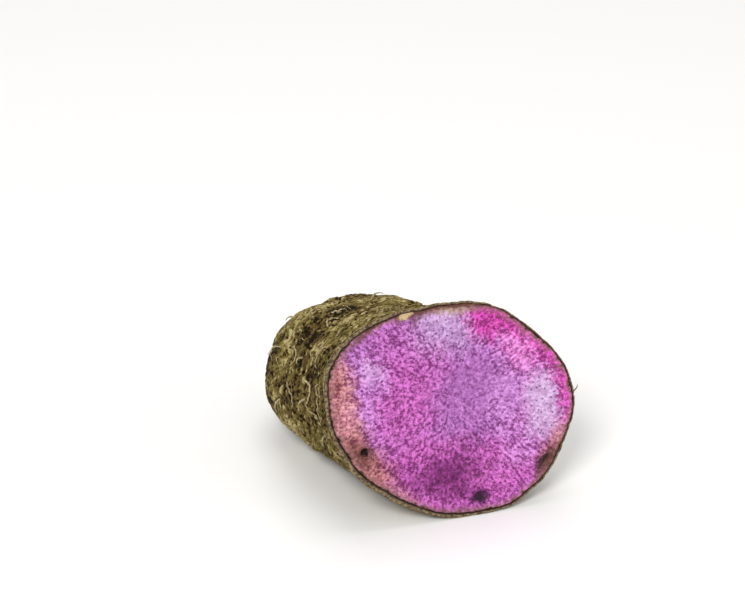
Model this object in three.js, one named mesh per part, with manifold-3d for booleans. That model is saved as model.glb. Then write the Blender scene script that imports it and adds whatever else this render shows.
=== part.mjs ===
import * as THREE from "three";
import Module from "manifold-3d";
import { mergeVertices } from "three/addons/utils/BufferGeometryUtils.js";

// Half a purple yam, cut across and lying on its side.
// The cut faces -Y and leans back. The body runs towards +Y and -X and narrows to a blunt end,
// and its underside is pressed flat where it lies on Z = 0. Lengths are millimetres, angles
// degrees. Angles round the body start at +X and go up over the top.

// The cut: its middle, its lean, and its radii every 30 degrees round.
const CUT_CENTRE = [1.5, -49, 46.4];
const CUT_LEAN = 14;
const CUT_RADII = [55, 48.5, 46, 45, 49, 55.5, 51, 47, 45, 46.5, 52.5, 54.5];

// The body behind it: the four control points of its curved spine, measured from the middle of
// the cut, and the ovals that the section turns into on the way.
const SPINE = [[0, 0, 0], [-11, 36, -11.5], [-26, 72, -16.5], [-31.5, 108, -20]];
const SECTION_TURN = { degrees: 12, reachedAt: 0.7 };
const WAIST = { right: 50, left: 40, halfHeight: 38, reachedAt: 0.5 };
const FAR_END = { right: 44, left: 41.5, halfHeight: 38.5, startsAt: 0.35, reachedAt: 0.8 };
const END_BLUNTNESS = 3.3;

// The edge of the cut: the skin stands as a thin lip, with a shrunken groove inside it.
const SKIN_LIP = 1.5;
const GROOVE_WIDTH = 1.3;
const GROOVE_DEPTH = 0.7;

// Uneven growth: [size of the lumps, how far they stand out].
const LUMPS = [[30, 2.0], [13, 1.5], [7, 0.9]];
const CALM_NEAR_CUT = { share: 0.4, upTo: 0.12 };

// Single marks: place along the body (0 cut, 1 far end), angle, radius, height.
const KNOBS = [
  [0.74, 206, 20, 2.6], [0.68, 166, 19, -4.6], [0.55, 176, 2.8, 1.3], [0.35, 162, 3.0, 1.4],
  [0.5, 94, 17, -1.3], [0.1, 88, 12, -0.8],
  [0.52, 118, 3.4, 1.1], [0.22, 128, 3.0, 1.0], [0.78, 82, 4.2, 1.5], [0.4, 66, 3.2, 1.3],
  [0.62, 28, 12, 2.0], [0.3, 18, 3.4, 1.4], [0.5, 340, 4.0, 1.5], [0.75, 318, 3.2, 1.2],
  [0.2, 322, 8, -1.4], [0.45, 216, 3.2, 1.2], [0.82, 232, 3.6, 1.4], [0.88, 30, 7, -1.6],
];

// Folds pressed into the skin: start and end as [place along, angle], depth, width.
const FOLDS = [
  { from: [0.56, 116], to: [0.72, 170], depth: 1.9, width: 2.6 },
  { from: [0.86, 75], to: [0.8, 150], depth: 1.3, width: 2.4 },
  { from: [0.66, -10], to: [0.78, 55], depth: 1.6, width: 2.8 },
  { from: [0.35, 205], to: [0.52, 232], depth: 1.1, width: 2.4 },
  { from: [0.16, 24], to: [0.24, 62], depth: 1.0, width: 2.4 },
];

// Short stout roots: place along, angle, length. All lean the same way, as if brushed down.
const ROOTS = [
  [0.03, 357, 7], [0.34, 174, 6], [0.44, 150, 5], [0.63, 187, 6], [0.3, 100, 5], [0.58, 70, 6],
  [0.83, 120, 6], [0.9, 40, 7], [0.7, 8, 7], [0.44, 28, 6], [0.24, 345, 5], [0.93, 190, 6],
  [0.16, 190, 5], [0.52, 325, 6],
];
const ROOT_RADIUS = 1.15;
const ROOT_TIP_RADIUS = 0.5;
const ROOT_SUNK = 3;
const ROOT_LEANS_TO = [0.35, -0.5, -0.6];
const ROOT_SIDES = 5;
const ROOT_STEPS = 5;

// Length of the small triangles that the skin is made of. The flat cut has larger ones, in rings
// at these shares of its radius, with this share of the points that the skin would have.
const EDGE = 3.05;
const CUT_RINGS = [0.18, 0.4, 0.62, 0.8];
const CUT_POINTS = 0.4;

const TURN = 2 * Math.PI;
const radians = THREE.MathUtils.degToRad;
const clamp01 = (value) => THREE.MathUtils.clamp(value, 0, 1);
const ease = (value) => clamp01(value) ** 2 * (3 - 2 * clamp01(value));
const mix = THREE.MathUtils.lerp;

// Radius of the cut at an angle: a smooth closed curve through CUT_RADII.
function cutRadius(angle) {
  const count = CUT_RADII.length;
  const place = THREE.MathUtils.euclideanModulo(angle, TURN) / TURN * count;
  const index = Math.floor(place);
  const f = place - index;
  const [a, b, c, d] = [-1, 0, 1, 2].map((k) => CUT_RADII[(index + k + count) % count]);
  return b + 0.5 * f * (c - a + f * (2 * a - 5 * b + 4 * c - d + f * (3 * (b - c) + d - a)));
}

function ovalRadius(oval, angle) {
  const halfWidth = Math.cos(angle) > 0 ? oval.right : oval.left;
  return 1 / Math.hypot(Math.cos(angle) / halfWidth, Math.sin(angle) / oval.halfHeight);
}

function spinePoint(along) {
  const rest = 1 - along;
  const weights = [rest ** 3, 3 * along * rest ** 2, 3 * along ** 2 * rest, along ** 3];
  const point = new THREE.Vector3(...CUT_CENTRE);
  SPINE.forEach((control, k) => point.addScaledVector(new THREE.Vector3(...control), weights[k]));
  return point;
}

// The two directions that a section of the body is drawn in.
function sectionAxes(along) {
  const turn = radians(SECTION_TURN.degrees) * ease(along / SECTION_TURN.reachedAt);
  const lean = radians(CUT_LEAN);
  const across = new THREE.Vector3(Math.cos(turn), Math.sin(turn), 0);
  const back = new THREE.Vector3(-Math.sin(turn), Math.cos(turn), 0);
  const up = back.multiplyScalar(Math.sin(lean)).setZ(Math.cos(lean));
  return { across, up };
}

// A point of the smooth body, before lumps, knobs and folds.
function smoothPoint(along, angle) {
  const toWaist = 1 - (1 - clamp01(along / WAIST.reachedAt)) ** 2;
  const toEnd = ease((along - FAR_END.startsAt) / (FAR_END.reachedAt - FAR_END.startsAt));
  let radius = mix(cutRadius(angle), ovalRadius(WAIST, angle), toWaist);
  radius = mix(radius, ovalRadius(FAR_END, angle), toEnd);
  radius *= Math.sqrt(1 - clamp01(along) ** END_BLUNTNESS);
  const { across, up } = sectionAxes(along);
  return spinePoint(along)
    .addScaledVector(across, radius * Math.cos(angle))
    .addScaledVector(up, radius * Math.sin(angle));
}

// A fixed scatter of numbers from 0 to 1 on a lattice, and the smooth noise between them.
function scatter(x, y, z) {
  let hash = Math.imul(x, 374761393) ^ Math.imul(y, 668265263) ^ Math.imul(z, 1274126177);
  hash = Math.imul(hash ^ (hash >>> 13), 1103515245);
  return ((hash ^ (hash >>> 16)) >>> 0) / 0xffffffff;
}

function noise(point, size) {
  const [x, y, z] = [point.x / size, point.y / size, point.z / size];
  const [i, j, k] = [Math.floor(x), Math.floor(y), Math.floor(z)];
  const [u, v, w] = [ease(x - i), ease(y - j), ease(z - k)];
  const row = (b, c) => mix(scatter(i, j + b, k + c), scatter(i + 1, j + b, k + c), u);
  return 2 * mix(mix(row(0, 0), row(1, 0), v), mix(row(0, 1), row(1, 1), v), w) - 1;
}

// Distances over the skin are taken with it unrolled flat, and the angle measured from a given
// one, the short way round.
const LENGTH = SPINE[3][1];
const UNROLLED_RADIUS = 41;

function unrolled(along, angle, fromAngle) {
  const turn = Math.atan2(Math.sin(angle - fromAngle), Math.cos(angle - fromAngle));
  return new THREE.Vector2(along * LENGTH, turn * UNROLLED_RADIUS);
}

function knobDistance(along, angle, knobAlong, knobAngle) {
  return unrolled(along, angle, knobAngle).distanceTo(unrolled(knobAlong, knobAngle, knobAngle));
}

function foldDistance(along, angle, fold) {
  const middle = radians((fold.from[1] + fold.to[1]) / 2);
  const start = unrolled(fold.from[0], radians(fold.from[1]), middle);
  const line = unrolled(fold.to[0], radians(fold.to[1]), middle).sub(start);
  const offset = unrolled(along, angle, middle).sub(start);
  const part = clamp01(offset.dot(line) / line.lengthSq());
  return offset.addScaledVector(line, -part).length();
}

// How far the real skin stands out of the smooth body.
function standsOut(along, angle, point) {
  let height = LUMPS.reduce((sum, [size, much]) => sum + much * noise(point, size), 0);
  for (const [knobAlong, knobAngle, radius, much] of KNOBS) {
    const away = knobDistance(along, angle, knobAlong, radians(knobAngle));
    height += much * Math.exp(-((away / radius) ** 2));
  }
  for (const fold of FOLDS) {
    height -= fold.depth * Math.exp(-((foldDistance(along, angle, fold) / fold.width) ** 2));
  }
  return height * mix(CALM_NEAR_CUT.share, 1, ease(along / CALM_NEAR_CUT.upTo));
}

// The way out of the body: square to the spine, and fanning out round the far end.
const FAN_STARTS_AT = 0.62;

function wayOut(along, point) {
  return point.clone().sub(spinePoint(Math.min(along, FAN_STARTS_AT))).normalize();
}

function skinPoint(along, angle) {
  const point = smoothPoint(along, angle);
  const height = standsOut(along, angle, point);
  point.addScaledVector(wayOut(along, point), height);
  point.z = Math.max(point.z, 0);
  return point;
}

// A closed surface made of rings of points, each joined to the last one.
class RingSurface {
  constructor() {
    this.positions = [];
    this.indices = [];
    this.last = null;
  }

  addRing(points) {
    const ring = { first: this.positions.length / 3, count: points.length };
    points.forEach((point) => this.positions.push(point.x, point.y, point.z));
    if (this.last) this.stitch(this.last, ring);
    this.last = ring;
  }

  // Two rings may have different numbers of points, so the one that is behind steps forward.
  stitch(near, far) {
    let [i, j] = [0, 0];
    while (i < near.count || j < far.count) {
      const a = near.first + i % near.count;
      const b = far.first + j % far.count;
      const nearSteps = i < near.count && (j === far.count || (i + 1) / near.count <= (j + 1) / far.count);
      if (nearSteps) {
        i += 1;
        const next = near.first + i % near.count;
        if (next !== a) this.indices.push(a, b, next);
      } else {
        j += 1;
        const next = far.first + j % far.count;
        if (next !== b) this.indices.push(a, b, next);
      }
    }
  }

  geometry() {
    const geometry = new THREE.BufferGeometry();
    geometry.setAttribute("position", new THREE.Float32BufferAttribute(this.positions, 3));
    geometry.setIndex(this.indices);
    return geometry;
  }
}

function ring(count, pointAt) {
  return Array.from({ length: count }, (_, k) => pointAt(k / count * TURN));
}

function ringLength(along) {
  const samples = 36;
  const points = ring(samples, (angle) => smoothPoint(along, angle));
  return points.reduce((sum, point, k) => sum + point.distanceTo(points[(k + 1) % points.length]), 0);
}

// The cut, from its middle out to the lip of skin. The last rings are set by how far they lie in
// from the edge and how deep below the plane of the cut.
function addCut(surface) {
  const centre = new THREE.Vector3(...CUT_CENTRE);
  const lean = radians(CUT_LEAN);
  const inward = new THREE.Vector3(0, Math.cos(lean), -Math.sin(lean));
  const edgePoint = (angle) => skinPoint(0, angle);
  const count = Math.round(ringLength(0) / EDGE);
  surface.addRing([centre]);
  for (const share of CUT_RINGS) {
    const few = Math.round(count * share * CUT_POINTS);
    surface.addRing(ring(few, (angle) => centre.clone().lerp(edgePoint(angle), share)));
  }
  const groove = [
    { fromEdge: SKIN_LIP + GROOVE_WIDTH, depth: 0 },
    { fromEdge: SKIN_LIP + GROOVE_WIDTH / 2, depth: GROOVE_DEPTH },
    { fromEdge: SKIN_LIP, depth: 0 },
  ];
  for (const { fromEdge, depth } of groove) {
    surface.addRing(ring(count, (angle) => {
      const edge = edgePoint(angle);
      const share = 1 - fromEdge / edge.distanceTo(centre);
      return centre.clone().lerp(edge, share).addScaledVector(inward, depth);
    }));
  }
}

// Places along the body whose rings lie an even way apart over the surface. The steps get
// shorter towards the far end, where the surface turns across the spine.
function ringPlaces() {
  const fine = 800;
  const rowHeight = EDGE * Math.sqrt(3) / 2;
  const sides = [0, 1, 2, 3].map((k) => k * TURN / 4);
  const placeAt = (step) => 1 - (1 - step / fine) ** 2;
  const travelled = [0];
  for (let step = 1; step <= fine; step += 1) {
    const [near, far] = [placeAt(step - 1), placeAt(step)];
    const gaps = sides.map((side) => smoothPoint(far, side).distanceTo(smoothPoint(near, side)));
    travelled.push(travelled[step - 1] + gaps.reduce((sum, gap) => sum + gap, 0) / sides.length);
  }
  const rows = Math.round(travelled[fine] / rowHeight);
  const wanted = Array.from({ length: rows }, (_, k) => k / rows * travelled[fine]);
  return wanted.map((distance) => placeAt(travelled.findIndex((value) => value >= distance)));
}

function addBody(surface) {
  for (const along of ringPlaces()) {
    const count = Math.max(6, Math.round(ringLength(along) / EDGE));
    surface.addRing(ring(count, (angle) => skinPoint(along, angle)));
  }
  surface.addRing([skinPoint(1, 0)]);
}

// A root: a thin tapering stem that starts inside the flesh and bends over outside.
function rootGeometry([along, degrees, length]) {
  const foot = skinPoint(along, radians(degrees));
  const out = wayOut(along, foot);
  const over = new THREE.Vector3(...ROOT_LEANS_TO).projectOnPlane(out).normalize();
  const path = new THREE.QuadraticBezierCurve3(
    foot.clone().addScaledVector(out, -ROOT_SUNK),
    foot.clone().addScaledVector(out, length * 0.55),
    foot.clone().addScaledVector(out, length * 0.5).addScaledVector(over, length * 0.75),
  );
  const surface = new RingSurface();
  surface.addRing([path.getPoint(0)]);
  for (let step = 0; step <= ROOT_STEPS; step += 1) {
    const part = step / ROOT_STEPS;
    const middle = path.getPoint(part);
    const tangent = path.getTangent(part);
    const side = over.clone().cross(tangent).normalize();
    const other = side.clone().cross(tangent);
    const radius = mix(ROOT_RADIUS, ROOT_TIP_RADIUS, part);
    surface.addRing(ring(ROOT_SIDES, (angle) => middle.clone()
      .addScaledVector(side, radius * Math.cos(angle))
      .addScaledVector(other, radius * Math.sin(angle))));
  }
  surface.addRing([path.getPoint(1).addScaledVector(path.getTangent(1), ROOT_TIP_RADIUS / 2)]);
  return surface.geometry();
}

const wasm = await Module();
wasm.setup();

function toSolid(geometry) {
  const merged = mergeVertices(geometry);
  return new wasm.Manifold(new wasm.Mesh({
    numProp: 3,
    vertProperties: merged.attributes.position.array,
    triVerts: new Uint32Array(merged.index.array),
  }));
}

// The triangles of the flesh lie in the plane of the cut, inside the groove, and come first.
function withMaterialGroups(solid) {
  const { vertProperties, triVerts } = solid.getMesh();
  const centre = new THREE.Vector3(...CUT_CENTRE);
  const lean = radians(CUT_LEAN);
  const facing = new THREE.Vector3(0, -Math.cos(lean), Math.sin(lean));
  const { across, up } = sectionAxes(0);
  const inFlesh = (vertex) => {
    const point = new THREE.Vector3().fromArray(vertProperties, vertex * 3).sub(centre);
    const fromEdge = cutRadius(Math.atan2(point.dot(up), point.dot(across))) - point.length();
    return Math.abs(point.dot(facing)) < 0.01 && fromEdge > SKIN_LIP + GROOVE_WIDTH / 2;
  };
  const [flesh, skin] = [[], []];
  for (let k = 0; k < triVerts.length; k += 3) {
    const triangle = Array.from(triVerts.slice(k, k + 3));
    (triangle.every(inFlesh) ? flesh : skin).push(...triangle);
  }
  const geometry = new THREE.BufferGeometry();
  geometry.setAttribute("position", new THREE.BufferAttribute(vertProperties, 3));
  geometry.setIndex([...flesh, ...skin]);
  geometry.addGroup(0, flesh.length, 0);
  geometry.addGroup(flesh.length, skin.length, 1);
  geometry.computeVertexNormals();
  return geometry;
}

function yamGeometry() {
  const surface = new RingSurface();
  addCut(surface);
  addBody(surface);
  const roots = ROOTS.map((root) => toSolid(rootGeometry(root)));
  return withMaterialGroups(roots.reduce((body, root) => body.add(root), toSolid(surface.geometry())));
}

const fleshMaterial = new THREE.MeshStandardMaterial({ color: 0xc065c4, roughness: 0.45, metalness: 0 });
const skinMaterial = new THREE.MeshStandardMaterial({ color: 0x6b5f3c, roughness: 0.9, metalness: 0 });

const yamHalf = new THREE.Mesh(yamGeometry(), [fleshMaterial, skinMaterial]);
yamHalf.name = "yam_half";

const yam = new THREE.Group();
yam.add(yamHalf);

export default yam;
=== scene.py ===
import functools
import itertools
import math

import bpy
import numpy as np
from bpy.props import FloatProperty, FloatVectorProperty, IntProperty, PointerProperty
from mathutils import Matrix, Vector


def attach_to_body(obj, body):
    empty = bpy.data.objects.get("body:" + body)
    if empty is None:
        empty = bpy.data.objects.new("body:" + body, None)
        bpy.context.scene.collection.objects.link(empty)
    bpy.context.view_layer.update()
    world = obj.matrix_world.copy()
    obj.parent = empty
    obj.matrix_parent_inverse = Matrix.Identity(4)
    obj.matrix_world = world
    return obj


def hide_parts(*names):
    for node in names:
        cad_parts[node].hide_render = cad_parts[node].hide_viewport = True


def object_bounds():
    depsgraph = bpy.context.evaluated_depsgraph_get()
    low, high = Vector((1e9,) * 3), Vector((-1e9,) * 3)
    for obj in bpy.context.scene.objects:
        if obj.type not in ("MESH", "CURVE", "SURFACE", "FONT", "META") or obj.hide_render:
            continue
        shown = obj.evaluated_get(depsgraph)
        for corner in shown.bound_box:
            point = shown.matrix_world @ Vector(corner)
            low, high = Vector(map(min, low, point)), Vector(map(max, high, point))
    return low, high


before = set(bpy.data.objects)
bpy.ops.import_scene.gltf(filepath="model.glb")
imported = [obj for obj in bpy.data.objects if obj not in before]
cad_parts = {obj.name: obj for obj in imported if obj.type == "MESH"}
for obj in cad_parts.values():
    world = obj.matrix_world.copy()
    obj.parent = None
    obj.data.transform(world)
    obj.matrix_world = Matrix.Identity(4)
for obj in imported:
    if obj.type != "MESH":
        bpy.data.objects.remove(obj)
CAD_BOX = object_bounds()

# Half a purple yam, cut across and lying on its side: corky skin, short roots and moist flesh.
# The body's shape is worked out in millimetres by the formula that the solid is made with, and
# finer relief is laid over it. Angles are degrees in the lists and radians in the functions.
# Angles round the body start at +X and go up over the top.

bl_info = {
    "name": "Purple yam half",
    "version": (1, 0, 0),
    "blender": (4, 5, 0),
    "location": "3D View > Sidebar > Yam",
    "description": "Builds half a purple yam with corky skin, roots and cut flesh, and its stage",
    "category": "Add Mesh",
}

MM = 0.001
TURN = 2 * math.pi
SOLID = "yam_half"
BODY = "root"

# The body's shape.
CUT_CENTRE = np.array([1.5, -49, 46.4])
CUT_LEAN = math.radians(14)
CUT_RADII = np.array([55, 48.5, 46, 45, 49, 55.5, 51, 47, 45, 46.5, 52.5, 54.5])
SPINE = np.array([[0, 0, 0], [-11, 36, -11.5], [-26, 72, -16.5], [-31.5, 108, -20]])
LENGTH = SPINE[3][1]
SECTION_TURN = {"angle": math.radians(12), "reached_at": 0.7}
WAIST = {"right": 50, "left": 40, "half_height": 38, "reached_at": 0.5}
FAR_END = {"right": 44, "left": 41.5, "half_height": 38.5, "starts_at": 0.35, "reached_at": 0.8}
END_BLUNTNESS = 3.3
FAN_STARTS_AT = 0.62
UNROLLED_RADIUS = 41

# Uneven growth: size of the lumps, how far they stand out.
LUMPS = [(30, 2.0), (13, 1.5), (7, 0.9)]
CALM_NEAR_CUT = {"share": 0.4, "up_to": 0.12}

# Single marks: place along the body (0 cut, 1 far end), angle, radius, height.
KNOBS = [
    (0.74, 206, 20, 2.6), (0.68, 166, 19, -4.6), (0.55, 176, 2.8, 1.3), (0.35, 162, 3.0, 1.4),
    (0.5, 94, 17, -1.3), (0.1, 88, 12, -0.8),
    (0.52, 118, 3.4, 1.1), (0.22, 128, 3.0, 1.0), (0.78, 82, 4.2, 1.5), (0.4, 66, 3.2, 1.3),
    (0.62, 28, 12, 2.0), (0.3, 18, 3.4, 1.4), (0.5, 340, 4.0, 1.5), (0.75, 318, 3.2, 1.2),
    (0.2, 322, 8, -1.4), (0.45, 216, 3.2, 1.2), (0.82, 232, 3.6, 1.4), (0.88, 30, 7, -1.6),
]

# Folds pressed into the skin: start, end, depth, width.
FOLDS = [
    ((0.56, 116), (0.72, 170), 1.9, 2.6),
    ((0.86, 75), (0.8, 150), 1.3, 2.4),
    ((0.66, -10), (0.78, 55), 1.6, 2.8),
    ((0.35, 205), (0.52, 232), 1.1, 2.4),
    ((0.16, 24), (0.24, 62), 1.0, 2.4),
]

# Short roots: place along the body, angle, length.
ROOTS = [
    (0.03, 357, 7), (0.34, 174, 6), (0.44, 150, 5), (0.63, 187, 6), (0.3, 100, 5), (0.58, 70, 6),
    (0.83, 120, 6), (0.9, 40, 7), (0.7, 8, 7), (0.44, 28, 6), (0.24, 345, 5), (0.93, 190, 6),
    (0.16, 190, 5), (0.52, 325, 6),
]
ROOT_LEANS_TO = np.array([0.35, -0.5, -0.6])
# The first root, at the right edge of the cut, has dried standing up.
RAISED_ROOT_LEANS_TO = np.array([0.3, -0.2, 0.9])

# The edge of the cut. The skin stands as a lip, widest at the left, and the flesh has shrunk away
# from it in a narrow groove. The lip's profile is given as shares of its width and depths below
# the cut, the flesh's as distances in from the lip and depths.
SKIN_THICKNESS = 1.8
LIP_WIDTH = {"least": 0.75, "most": 2.3, "widest_at": math.radians(185), "unevenness": 0.3}
LIP_PROFILE = [
    (1.0, 1.9), (1.0, 1.0), (0.97, 0.5), (0.88, 0.16), (0.72, 0.02), (0.5, 0.0), (0.28, 0.0),
    (0.08, 0.03),
]
FLESH_PROFILE = [(0.75, 0.01), (0.5, 0.05), (0.32, 0.16), (0.18, 0.42), (0.12, 0.9), (0.12, 1.9)]
FLESH_STARTS = 0.95
LIP_ROUGHNESS = 0.14
GAP_UNDER_SKIN = 0.25

# How the meshes are made: the samples that lengths are measured with, the fewest points in a ring,
# the spacing of its rows for an edge of one, and the surfaces that nobody sees, inside the body.
RING_SAMPLES = 72
ALONG_SAMPLES = 801
LEAST_IN_RING = 6
ROW_SPACING = math.sqrt(3) / 2
HIDDEN_EDGE = 3
HIDDEN_STARTS_AT = 3

# Patches of dried soil that the skin still carries, and cleaner ones with less than none: place
# along, angle, radius, how dark. The patch at 0.12 along and 151 degrees is painted shadow beside
# the rim of the cut.
SOIL_AND_SHADE_PATCHES = [
    (0.44, 137, 5, 0.8), (0.46, 107, 5, 0.8), (0.4, 124, 5, -0.7), (0.42, 168, 5, 0.7),
    (0.12, 151, 5, 0.8), (0.63, 138, 7, -0.5), (0.2, 108, 8, -0.45), (0.72, 108, 10, -0.4),
    (0.5, 152, 5, -0.3), (0.28, 150, 6, -0.2), (0.5, 60, 11, 0.2), (0.25, 20, 10, 0.2),
    (0.14, 190, 7, 0.4), (0.6, 340, 14, 0.6), (0.75, 30, 12, 0.5), (0.85, 200, 12, 0.6),
    (0.4, 220, 12, 0.5), (0.3, 290, 18, 0.6), (0.72, 270, 18, 0.6), (0.95, 80, 9, 0.5),
    (0.1, 330, 9, 0.5),
]

# The cork's relief: how wide a crack is, how far apart wrinkles are, the size and height of its
# lumps and flakes, and the deepest and highest that it goes.
CRACK_WIDTH = 0.85
WRINKLES_APART = 1.6
CORK_LUMPS = {"size": 5.2, "height": 0.26}
CORK_FLAKES = {"size": 1.5, "height": 0.17}
CORK_LIMITS = (-1.1, 1.3)

# Large root scars: place along, angle, radius, height. Smaller ones are scattered between them.
SCARS = np.array([
    (0.55, 175, 2.2, 1.1), (0.355, 162, 1.8, 0.9), (0.42, 119, 1.4, 0.7), (0.475, 109, 1.4, 0.7),
    (0.6, 140, 1.5, 0.6), (0.25, 182, 1.4, 0.6),
])

# Rootlets that curl over the skin: how thick each is, and the places along the body and the
# angles that it follows.
CURLS = [
    (2.2, [(0.4, 162), (0.22, 162), (0.2, 172), (0.43, 177), (0.26, 181)]),
    (1.6, [(0.66, 150), (0.62, 142), (0.5, 144), (0.43, 154), (0.55, 158)]),
    (1.3, [(0.72, 150), (0.8, 153), (0.84, 160), (0.78, 168)]),
    (2.0, [(0.43, 124), (0.47, 119), (0.43, 115)]),
    (1.8, [(0.5, 113), (0.45, 109), (0.48, 103)]),
    (1.3, [(0.52, 168), (0.44, 170), (0.4, 178), (0.47, 184)]),
    (1.3, [(0.24, 140), (0.32, 146), (0.25, 154)]),
    (1.2, [(0.16, 160), (0.22, 166), (0.17, 176), (0.2, 184)]),
]

# Zones of colour in the flesh, painted in this order: colour, middle, half sizes, turn, softness
# and strength. Places are millimetres across and up from the middle of the cut.
FLESH_ZONES = [
    ("lavender", (1, 34), (14, 10), 0, 0.6, 0.9),
    ("orchid", (28, 0), (10, 13), 0, 0.6, 0.7),
    ("magenta", (-19, 5), (14, 20), 0, 0.5, 0.85),
    ("magenta", (-14, -25), (21, 12), 5, 0.5, 0.95),
    ("magenta", (-21, 29), (12, 11), 30, 0.6, 0.4),
    ("magenta", (-5, 19), (8, 8), 0, 0.7, 0.5),
    ("orchid", (-31, 18), (6, 9), 20, 0.6, 0.85),
    ("orchid", (-34, 3), (4, 6), 5, 0.7, 0.55),
    ("pale_lilac", (-31, 21), (4, 5), 12, 0.7, 0.5),
    ("pale_lilac", (4, 40), (12, 4), 0, 0.8, 0.7),
    ("magenta", (20, -30), (24, 12), 8, 0.5, 0.9),
    ("magenta", (0, -40), (32, 6), 0, 0.6, 0.85),
    ("magenta", (4, -19), (20, 7), 0, 0.7, 0.55),
    ("orchid", (31, -22), (8, 7), 30, 0.8, 0.6),
    ("hot_magenta", (20, 36), (10, 9), -20, 0.5, 1.0),
    ("hot_magenta", (36, 27), (14, 8), -40, 0.5, 0.95),
    ("hot_magenta", (49, 12), (6, 15), 12, 0.5, 0.95),
    ("pink", (31, 20), (8, 5), -40, 0.8, 0.85),
    ("pink", (37, 11), (4, 5), 10, 0.8, 0.55),
    ("pale_lilac", (41, -4), (8, 14), -5, 0.5, 0.95),
    ("hot_magenta", (51.2, -4), (3, 12), 4, 0.6, 0.8),
    ("magenta", (31, -9), (5, 4), 0, 0.8, 0.35),
    ("salmon", (-47, 2), (9, 27), 0, 0.35, 0.95),
    ("salmon", (-39, -21), (8, 13), 38, 0.4, 0.9),
    ("salmon", (-28, -33), (12, 6), -30, 0.5, 0.7),
    ("salmon", (46.5, -19), (4.2, 6.5), -18, 0.6, 0.75),
    ("rust", (-50, 2), (4, 17), 0, 0.7, 0.8),
    ("rust", (-47, 17), (7, 8), 0, 0.7, 0.65),
    ("rust", (-42, -9), (8, 6), 20, 0.7, 0.85),
    ("bruise", (-41, -12), (4, 6), 35, 0.8, 0.45),
    ("rust", (-34, -20), (10, 8), -50, 0.6, 0.75),
    ("deep_purple", (-3, -28), (13, 8), 4, 0.7, 0.95),
    ("deep_purple", (4, -38), (10, 5), 0, 0.8, 0.6),
    ("deep_purple", (-20, -30), (8, 6), -30, 0.8, 0.35),
    ("deep_purple", (7, -14), (10, 4), 10, 0.8, 0.3),
    ("rust", (43, -27), (9, 5), 55, 0.6, 0.6),
    ("bruise", (41.3, -32), (11, 3.2), 56, 0.5, 0.85),
    ("deep_purple", (23, 40), (5, 1.6), -20, 0.9, 0.45),
]

# Small marks, painted last and over the grain. The hole marks are painted shade, near-black inside the
# dips of the cut.
FLESH_MARKS = [
    ("bruise", (-12, 42.4), (11, 2.6), 6, 0.6, 0.85),
    ("bruise", (-33, 36), (9, 1.4), 40, 0.7, 0.7),
    ("bruise", (8, 43.4), (18, 3.3), -3, 0.6, 0.9),
    ("bruise", (39, 33), (10, 0.9), -38, 0.7, 0.6),
    ("bruise", (-11, 39.6), (3.6, 2), 50, 0.8, 0.5),
    ("bruise", (-16, -41), (19, 1.8), -14, 0.8, 0.45),
    ("cream", (-15.2, 41.8), (3, 1.4), 22, 0.5, 0.95),
    ("cream", (5, 40.4), (8, 1.2), -4, 0.9, 0.45),
    ("bruise", (42, -28.5), (5, 1.9), 55, 0.5, 0.9),
    ("painted_hole_shade", (40, -28.6), (3.4, 1.2), 38, 0.7, 0.9),
    ("spot", (11.2, -40), (3.8, 2.9), 0, 0.5, 0.9),
    ("painted_hole_shade", (11.4, -40.4), (2.4, 1.6), 0, 0.5, 0.8),
    ("bruise", (-37.4, -18), (3.6, 2), -55, 0.7, 0.55),
    ("bruise", (-36.8, -13.4), (4, 3.4), 0, 0.6, 0.75),
    ("painted_hole_shade", (-36.6, -13.2), (1.8, 1.6), 0, 0.4, 1.0),
]

# Dips in the flesh: middle, half sizes, turn, depth.
FLESH_DIPS = [
    ((-36.6, -13.2), (1.4, 1.3), 0, 2.2),
    ((11.2, -40), (2.4, 1.9), 0, 0.9),
    ((40, -28.6), (3.6, 1.6), 38, 0.9),
    ((-15.6, 42.6), (3.5, 1.8), 25, 0.4),
]


def linear(hex_colour):
    """An sRGB hex colour as linear red, green and blue."""
    values = [int(hex_colour[k:k + 2], 16) / 255 for k in (1, 3, 5)]
    return tuple(v / 12.92 if v <= 0.04045 else ((v + 0.055) / 1.055) ** 2.4 for v in values)


def colour_property(name, description, hex_colour):
    return FloatVectorProperty(
        name=name, description=description, subtype="COLOR", size=3, min=0, max=1,
        default=linear(hex_colour))


def length_property(name, description, metres):
    return FloatProperty(
        name=name, description=description, default=metres, min=0, unit="LENGTH", precision=5)


class YamSkinSettings(bpy.types.PropertyGroup):
    mesh_edge: length_property("Mesh edge", "Length of the skin's triangles", 0.00071)
    plate_size: length_property("Plate size", "Width of the plates that the cork cracks into", 0.0042)
    crack_depth: length_property("Crack depth", "Depth of the cracks between plates", 0.0006)
    wrinkle_depth: length_property("Wrinkle depth", "Depth of the wrinkles round the body", 0.0006)
    scars: IntProperty(
        name="Root scars", description="Number of small root scars", default=90, min=0, max=400)
    # The soil colour is also used as painted shade in the crease behind the lip and in a patch beside the
    # rim.
    cork: colour_property("Cork", "Colour of the plates", "#80713B")
    worn_cork: colour_property("Worn cork", "Colour of the highest, rubbed plates", "#BAAA78")
    soil: colour_property("Soil", "Colour of the soil in the cracks", "#1A1102")
    cut_edge: colour_property("Cut edge", "Colour of the skin where it is cut", "#93805E")


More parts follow.
